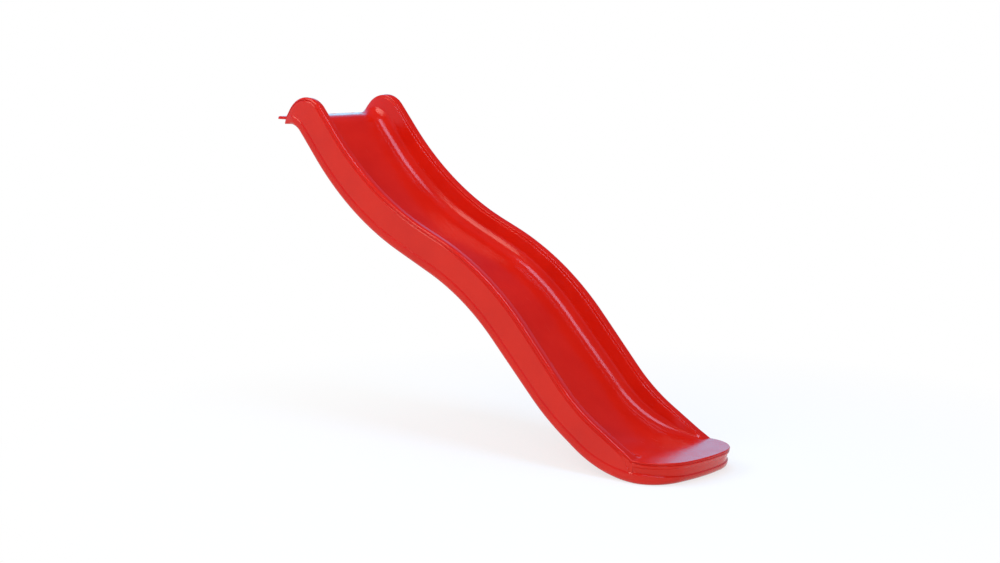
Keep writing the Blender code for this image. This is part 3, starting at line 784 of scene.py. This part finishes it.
def arc_points(out, up, radius, first, last, steps):
    """Points along an arc round (out, up), from the first to the last angle in degrees."""
    angles = [math.radians(first + (last - first) * step / steps) for step in range(steps + 1)]
    return [(out + radius * math.cos(angle), up + radius * math.sin(angle)) for angle in angles]


def skirt_section(post):
    """The deck's edge from its top, over the rounding and down the skirt to the seam."""
    points = arc_points(-post.edge, post.rim - post.edge, post.edge, 90, 0, EDGE_STEPS)
    bottom = post.rim - post.skirt
    return points + [(0.0, bottom + SEAM_CHAMFER), (-SEAM_CHAMFER, bottom)]


def skirt_back(post):
    """The inner face of the deck's edge, from the seam up."""
    return [(-SEAM_CHAMFER - WALL, post.rim - post.skirt), (-WALL, post.rim - WALL)]


def trough_section(rim):
    """The trough's half section from the rim's inner edge to the bed, as (y, up) on the +Y side."""
    inner = HALF_WIDTH - RIM_WIDTH
    ledge = inner - LEDGE_WIDTH
    low = ledge - WALL_DRAFT
    points = []
    tilt = math.radians(CROWN_TILT)
    crown = HALF_WIDTH - RIM_EDGE - inner - RIM_INNER_EDGE * (1 - math.sin(tilt))
    for step in range(1, CROWN_STEPS + 1):
        run = crown * step / CROWN_STEPS
        level = run * run / (2 * CROWN_BLEND) if run < CROWN_BLEND else run - CROWN_BLEND / 2
        points.append((HALF_WIDTH - RIM_EDGE - run, WALL_HEIGHT - level * math.tan(tilt)))
    high = points[-1][1] - RIM_INNER_EDGE * math.cos(tilt)
    points += arc_points(inner + RIM_INNER_EDGE, high, RIM_INNER_EDGE, 90 + CROWN_TILT, 180, EDGE_STEPS)[1:]
    points.append((inner, WALL_HEIGHT - LEDGE_DROP))
    points.append((ledge, WALL_HEIGHT - LEDGE_DROP - LEDGE_ROUND))
    points += arc_points(low - BED_FILLET, BED_FILLET, BED_FILLET, FILLET_START, -90, FILLET_STEPS)
    ledge_point = CROWN_STEPS + EDGE_STEPS
    points = rounded(points, ledge_point, ledge_point + 1)
    squash = rim / WALL_HEIGHT
    return [(y, up * squash) for y, up in points]


def trough_back(rim):
    """The half section of the trough's hidden face, one wall behind a plainer form of the trough."""
    inner = HALF_WIDTH - RIM_WIDTH
    low = inner - LEDGE_WIDTH - WALL_DRAFT
    face = [(HALF_WIDTH, WALL_HEIGHT), (inner, WALL_HEIGHT)]
    face += arc_points(low - BED_FILLET, BED_FILLET, BED_FILLET, FILLET_START, -90, BACK_FILLET_STEPS)
    face.append((0.0, 0.0))
    face = [Vector((y, up * rim / WALL_HEIGHT)) for y, up in face]
    behind = []
    for before, here, after in zip(face, face[1:], face[2:]):
        enter = (here - before).normalized()
        leave = (after - here).normalized()
        normal = (Vector((-enter.y, enter.x)) + Vector((-leave.y, leave.x))).normalized()
        behind.append(here + normal * WALL / normal.dot(Vector((-enter.y, enter.x))))
    return [(point.x, point.y) for point in behind]


def across(length, half, middle=()):
    """A half section laid out on both sides of the bed from -Y to +Y, with what stands in the middle."""
    x, z, heading = BED.at(length)
    up_x, up_z = -math.sin(heading), math.cos(heading)
    section = [(-y, up) for y, up in (*half, *middle)] + half[::-1]
    return [(x + up_x * up, y, z + up_z * up) for y, up in section]


def side_section(post):
    """The base's side from the seam down over the panel and the lower bead to the underside."""
    points = [(out, post.seam - down * post.scale) for out, down in post.rows]
    high = post.bottom + post.bead_top
    step = BEAD_STEP * post.scale
    points.append((points[-1][0], high))
    shoulder = len(points)
    points.append((post.bead * BEAD_SHOULDER, high - step))
    points.append((post.bead, high - 2 * step))
    radius = post.radius
    points += arc_points(post.bead - radius, post.bottom + radius, radius, 0, -90, BOTTOM_STEPS)
    return post.leant(rounded(points, FIRST_PANEL_ROW, shoulder))


def side_back(post):
    """The inner face of the base's side, one wall behind its main edges."""
    inner = min(0.0, post.rows[-1][0]) - WALL
    high = post.bottom + post.bead_top
    points = [(post.rows[0][0] - WALL, post.seam), (inner - SHOULDER_INSET, post.seam - SKIRT * post.scale)]
    points += [(inner, high), (post.bead - WALL, high - 2 * BEAD_STEP * post.scale)]
    radius = post.radius
    points += arc_points(post.bead - radius, post.bottom + radius, radius - WALL, 0, -90, BACK_BOTTOM_STEPS)
    return post.leant(points)


def underside_row(length, depth, top, grown):
    """A row across the underside inside its rounded edges, lifted where a channel is."""
    half = []
    end = CHANNEL_HALF_LENGTH + CHANNEL_DRAFT / 2 + grown
    start = end - CHANNEL_DRAFT
    lift = channel_lift(length)
    for step in range(DRAFT_STEPS + 1):
        y = end - (end - start) * step / DRAFT_STEPS
        half.append((y, mix(-depth, top, lift * ease(end - y, 0.0, end - start))))
    return across(length, half, [(0.0, mix(-depth, top, lift))])


def make_deck(surface):
    """The riding skin: lip, bed, inner walls, rims with their heads, and the foot's top."""
    shell = Shell()
    lengths = stations()
    near = [side_post(length, -1) for length in lengths]
    far = [side_post(length, 1) for length in lengths]
    outer = {}
    inner = {}
    for name, posts in (("near", near), ("foot", foot_posts()), ("far", far[::-1]), ("lip", lip_posts())):
        outer[name] = shell.rows(posts, skirt_section)
        if name != "lip":
            inner[name] = shell.rows(posts, skirt_back)
    edge = outer["near"] + outer["foot"] + outer["far"] + outer["lip"]
    shell.skin(edge + edge[:1])

    troughs = []
    backs = []
    for number, (length, post) in enumerate(zip(lengths, near)):
        far_number = len(lengths) - 1 - number
        middle = shell.row(across(length, trough_section(post.rim)))
        troughs.append([outer["near"][number][0]] + middle + [outer["far"][far_number][0]])
        middle = shell.row(across(length, trough_back(post.rim)))
        backs.append([inner["near"][number][1]] + middle + [inner["far"][far_number][1]])
    shell.skin(troughs)
    shell.skin(backs)

    shell.cap(troughs[-1] + [row[0] for row in reversed(outer["foot"])])
    shell.cap(troughs[0] + [row[0] for row in outer["lip"]])
    shell.cap(backs[-1] + [row[1] for row in reversed(inner["foot"])])
    rear_inner = inner["near"][0][0], inner["far"][-1][0]
    shell.cap([rear_inner[0]] + backs[0] + [rear_inner[1]])
    lip_bottom = [row[-1] for row in [outer["far"][-1]] + outer["lip"] + [outer["near"][0]]]
    shell.cap(lip_bottom + list(rear_inner))

    skirt = inner["near"] + inner["foot"] + inner["far"]
    seam = outer["near"] + outer["foot"] + outer["far"]
    shell.skin(skirt)
    shell.strip([row[-1] for row in seam], [row[0] for row in skirt])
    return shell.finish("deck_moulding", surface, pocket_cutters())


def make_base(surface):
    """The lower skin: rear face, side walls with panel and bead, ribbed underside and foot."""
    shell = Shell()
    lengths = stations()
    outer_lengths = [GAP] + lengths[1:]
    inner_lengths = [GAP + WALL] + lengths[1:]
    foot = foot_posts()
    outer = {}
    inner = {}
    for name, side in (("near", -1), ("far", 1)):
        posts = [side_post(length, side) for length in outer_lengths]
        posts[0].seam = -LIP_THICKNESS - GAP
        outer[name] = shell.rows(posts, side_section)
        inner[name] = []
        for post, length in zip(posts, inner_lengths):
            back = side_post(length, side)
            points = [post.point(*side_back(post)[0])] + [back.point(*place) for place in side_back(back)[1:]]
            inner[name].append(shell.row(points))
    outer["foot"] = shell.rows(foot, side_section)
    inner["foot"] = shell.rows(foot, side_back)
    seams = []
    for skin in (outer, inner):
        band = skin["near"] + skin["foot"] + skin["far"][::-1]
        shell.skin(band)
        seams.append([row[0] for row in band])
    shell.strip(seams[0] + seams[0][:1], seams[1] + seams[1][:1])

    outer_top = -2 * WALL - GAP
    for skin, places, shift in ((outer, outer_lengths, 0.0), (inner, inner_lengths, WALL)):
        rows = []
        for number, length in enumerate(places):
            depth = side_post(length, -1).bottom + shift
            row = shell.row(underside_row(length, -depth, outer_top + shift, shift))
            rows.append([skin["near"][number][-1]] + row + [skin["far"][number][-1]])
        shell.skin(rows)
        shell.cap(rows[-1] + [row[-1] for row in reversed(skin["foot"])])
        shell.cap(skin["near"][0][:-1] + rows[0] + skin["far"][0][:-1][::-1])
    return shell.finish("base_moulding", surface)


def link(tree, source, output, target, socket):
    tree.links.new(source.outputs[output], target.inputs[socket])


def noise(tree, source, output, scale, detail, roughness):
    node = tree.nodes.new("ShaderNodeTexNoise")
    for name, value in (("Scale", scale), ("Detail", detail), ("Roughness", roughness)):
        node.inputs[name].default_value = value
    link(tree, source, output, node, "Vector")
    return node


def ranged(tree, source, output, low, high, to_low, to_high):
    node = tree.nodes.new("ShaderNodeMapRange")
    for name, value in (("From Min", low), ("From Max", high), ("To Min", to_low), ("To Max", to_high)):
        node.inputs[name].default_value = value
    link(tree, source, output, node, "Value")
    return node


def maths(tree, operation, *values):
    """A Math node whose inputs are numbers or (node, output) pairs."""
    node = tree.nodes.new("ShaderNodeMath")
    node.operation = operation
    for index, value in enumerate(values):
        if isinstance(value, tuple):
            link(tree, *value, node, index)
        else:
            node.inputs[index].default_value = value
    return node


def bumped(tree, height, output, distance, under=None):
    node = tree.nodes.new("ShaderNodeBump")
    node.inputs["Distance"].default_value = distance
    node.inputs["Strength"].default_value = 1.0
    link(tree, height, output, node, "Height")
    if under:
        link(tree, under, "Normal", node, "Normal")
    return node


def ramped(tree, source, output, stops):
    """A colour ramp through two or more (position, colour) stops."""
    node = tree.nodes.new("ShaderNodeValToRGB")
    elements = node.color_ramp.elements
    for position, colour in stops[1:-1]:
        elements.new(position).color = colour
    elements[0].position, elements[0].color = stops[0]
    elements[-1].position, elements[-1].color = stops[-1]
    link(tree, source, output, node, "Fac")
    return node


def tinted(tree, amount, base, colour):
    """The base mixed with a colour by an amount, where base and amount are (node, output) pairs."""
    node = tree.nodes.new("ShaderNodeMix")
    node.data_type = "RGBA"
    node.inputs["B"].default_value = colour
    link(tree, *amount, node, "Factor")
    link(tree, *base, node, "A")
    return node


def new_surface(name):
    """A material with its node tree and its shader."""
    surface = bpy.data.materials.new(name)
    surface.use_nodes = True
    tree = surface.node_tree
    return surface, tree, tree.nodes["Principled BSDF"]


def scuffs(tree, place):
    """How worn the bed is: fine lines down its middle, stronger in patches."""
    length = tree.nodes.new("ShaderNodeAttribute")
    length.attribute_name = "along"
    parts = tree.nodes.new("ShaderNodeSeparateXYZ")
    link(tree, place, "Object", parts, "Vector")
    grid = tree.nodes.new("ShaderNodeCombineXYZ")
    link(tree, length, "Fac", grid, "X")
    link(tree, parts, "Y", grid, "Y")
    stretch = tree.nodes.new("ShaderNodeMapping")
    stretch.inputs["Scale"].default_value = SCRATCH_STRETCH
    link(tree, grid, "Vector", stretch, "Vector")
    scratch = noise(tree, stretch, "Vector", *SCRATCH)
    lines = ranged(tree, scratch, "Fac", *SCRATCH_RANGE, 0.0, 1.0)
    middle = maths(tree, "ABSOLUTE", (parts, "Y"))
    zone = ranged(tree, middle, "Value", *RIDDEN_RANGE, 1.0, 0.0)
    worn = maths(tree, "MULTIPLY", (lines, "Result"), (zone, "Result"))
    patch = noise(tree, place, "Object", *WEAR)
    strength = ranged(tree, patch, "Fac", *WEAR_RANGE, *WEAR_STRENGTH)
    return maths(tree, "MULTIPLY", (worn, "Value"), (strength, "Result"))


def red_plastic(name, ridden):
    """Glossy moulded red plastic. The ridden skin has fine scuffs that run down the bed."""
    surface, tree, shader = new_surface(name)
    shader.inputs["IOR"].default_value = PLASTIC_IOR
    shader.inputs["Specular IOR Level"].default_value = PLASTIC_SPECULAR
    shader.inputs["Specular Tint"].default_value = PLASTIC_TINT
    shader.inputs["Subsurface Weight"].default_value = 0.0
    place = tree.nodes.new("ShaderNodeTexCoord")

    cloud = noise(tree, place, "Object", *CLOUD)
    mottle = noise(tree, place, "Object", *MOTTLE)
    shade = maths(tree, "MULTIPLY_ADD", (mottle, "Fac"), MOTTLE_SHARE, (cloud, "Fac"))
    red = ramped(tree, shade, "Value", PLASTIC_COLOURS)
    haze = noise(tree, place, "Object", *HAZE)
    rough = ranged(tree, haze, "Fac", *NOISE_RANGE, *PLASTIC_ROUGHNESS)
    wave = noise(tree, place, "Object", *WAVE)
    peel = noise(tree, place, "Object", *PEEL)
    relief = bumped(tree, wave, "Fac", WAVE_HEIGHT)
    relief = bumped(tree, peel, "Fac", PEEL_HEIGHT, under=relief)
    if ridden:
        worn = scuffs(tree, place)
        relief = bumped(tree, worn, "Value", -SCRATCH_DEPTH, under=relief)
        amount = maths(tree, "MULTIPLY", (worn, "Value"), WORN_SHARE)
        pale = tinted(tree, (amount, "Value"), (red, "Color"), WORN_COLOUR)
        link(tree, pale, "Result", shader, "Base Color")
        scuffed = maths(tree, "MULTIPLY_ADD", (worn, "Value"), WORN_ROUGHNESS, (rough, "Result"))
        link(tree, scuffed, "Value", shader, "Roughness")
    else:
        link(tree, red, "Color", shader, "Base Color")
        link(tree, rough, "Result", shader, "Roughness")
    link(tree, relief, "Normal", shader, "Normal")
    return surface


def zinc_steel(name, colour):
    """Zinc-plated steel with a fine cloudy grain."""
    surface, tree, shader = new_surface(name)
    shader.inputs["Metallic"].default_value = 1.0
    place = tree.nodes.new("ShaderNodeTexCoord")
    cloud = noise(tree, place, "Object", *GRAIN)
    colours = (*(channel * STEEL_SHADE for channel in colour), 1), (*colour, 1)
    shade = ramped(tree, cloud, "Fac", tuple(zip(NOISE_RANGE, colours)))
    link(tree, shade, "Color", shader, "Base Color")
    rough = ranged(tree, cloud, "Fac", *NOISE_RANGE, *STEEL_ROUGHNESS)
    link(tree, rough, "Result", shader, "Roughness")
    grain = bumped(tree, cloud, "Fac", GRAIN_HEIGHT)
    link(tree, grain, "Normal", shader, "Normal")
    return surface


red_deck = red_plastic("deck_plastic", True)
red_base = red_plastic("base_plastic", False)
screw_steel = zinc_steel("screw_steel", SCREW_COLOUR)
washer_steel = zinc_steel("washer_steel", WASHER_COLOUR)

deck = make_deck(red_deck)
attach(deck, "root")
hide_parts("deck_shell")
base = make_base(red_base)
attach(base, "root")
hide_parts("base_shell")
seat = LIP_THICKNESS - POCKET_DEPTH + GAP
for number, y in enumerate(SCREW_SPREAD, start=1):
    washer = make_washer(f"washer_{number}", (0.0, y, seat), washer_steel)
    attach(washer, "root")
    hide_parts(f"lip_washer_{number}")
    screw = make_screw(f"screw_{number}", (0.0, y, seat + WASHER_THICKNESS + GAP), screw_steel)
    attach(screw, "root")
    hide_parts(f"lip_screw_{number}")


def area_light(name, place, target, size, power, colour):
    lamp = bpy.data.lights.new(name, "AREA")
    lamp.shape = "RECTANGLE"
    lamp.size, lamp.size_y = size
    lamp.energy = power
    lamp.color = colour
    body = bpy.data.objects.new(name, lamp)
    body.location = place
    body.rotation_euler = (Vector(target) - Vector(place)).to_track_quat("-Z", "Y").to_euler()
    body.visible_camera = False
    bpy.context.collection.objects.link(body)


def straight_rays(tree):
    """The kinds of light path, and 1 for those that come seen, mirrored or through glass."""
    ray = tree.nodes.new("ShaderNodeLightPath")
    straight = maths(tree, "MAXIMUM", (ray, "Is Camera Ray"), (ray, "Is Glossy Ray"))
    return ray, maths(tree, "MAXIMUM", (straight, "Value"), (ray, "Is Transmission Ray"))


def show(tree, amount, plain, shown, output):
    """One shader shown in place of another by an amount."""
    choose = tree.nodes.new("ShaderNodeMixShader")
    link(tree, amount, "Value", choose, "Fac")
    link(tree, plain, 0, choose, 1)
    link(tree, shown, 0, choose, 2)
    link(tree, choose, 0, output, "Surface")


def make_world():
    """A pale light. The camera sees white, and reflections a sky, pale blue low down and dark above."""
    world = bpy.data.worlds.new("studio")
    bpy.context.scene.world = world
    world.use_nodes = True
    tree = world.node_tree
    tree.nodes.clear()
    output = tree.nodes.new("ShaderNodeOutputWorld")
    light = tree.nodes.new("ShaderNodeBackground")
    light.inputs["Color"].default_value = WORLD_COLOUR
    light.inputs["Strength"].default_value = WORLD_STRENGTH
    background = tree.nodes.new("ShaderNodeBackground")
    background.inputs["Strength"].default_value = 1.0
    place = tree.nodes.new("ShaderNodeTexCoord")
    parts = tree.nodes.new("ShaderNodeSeparateXYZ")
    link(tree, place, "Generated", parts, "Vector")
    sky = ramped(tree, parts, "Z", SKY_COLOURS)
    ray, straight = straight_rays(tree)
    seen = tinted(tree, (ray, "Is Camera Ray"), (sky, "Color"), WHITE)
    link(tree, seen, "Result", background, "Color")
    show(tree, straight, light, background, output)


def make_floor():
    """A pale floor that keeps the slide's soft shadow and fades to white away from it."""
    mesh = bpy.data.meshes.new("floor")
    corners = ((-1, -1), (1, -1), (1, 1), (-1, 1))
    points = [(x * FLOOR_REACH, y * FLOOR_REACH, -PLATFORM_HEIGHT) for x, y in corners]
    mesh.from_pydata(points, [], [(0, 1, 2, 3)])
    floor = bpy.data.objects.new("floor", mesh)
    bpy.context.collection.objects.link(floor)
    surface, tree, shader = new_surface("floor_white")
    shader.inputs["Base Color"].default_value = FLOOR_COLOUR
    shader.inputs["Roughness"].default_value = FLOOR_ROUGHNESS
    shader.inputs["Specular IOR Level"].default_value = 0.0
    glow = tree.nodes.new("ShaderNodeEmission")
    place = tree.nodes.new("ShaderNodeNewGeometry")
    away = tree.nodes.new("ShaderNodeVectorMath")
    away.operation = "DISTANCE"
    away.inputs[1].default_value = FADE_CENTRE
    link(tree, place, "Position", away, 0)
    fade = ranged(tree, away, "Value", *FADE_RANGE, *FADE_GLOW)
    _, straight = straight_rays(tree)
    seen = maths(tree, "MULTIPLY", (fade, "Result"), (straight, "Value"))
    show(tree, seen, shader, glow, tree.nodes["Material Output"])
    mesh.materials.append(surface)


make_world()
make_floor()
for lamp in LAMPS:
    area_light(*lamp)

camera = bpy.data.cameras.new("camera")
camera.sensor_width = CAMERA_SENSOR
camera.lens = CAMERA_LENS
eye = bpy.data.objects.new("camera", camera)
eye.location = CAMERA_PLACE
eye.rotation_euler = (math.radians(90 - CAMERA_PITCH), 0.0, math.radians(CAMERA_TURN))
bpy.context.collection.objects.link(eye)
bpy.context.scene.camera = eye

view = bpy.context.scene.view_settings
view.view_transform = "Standard"
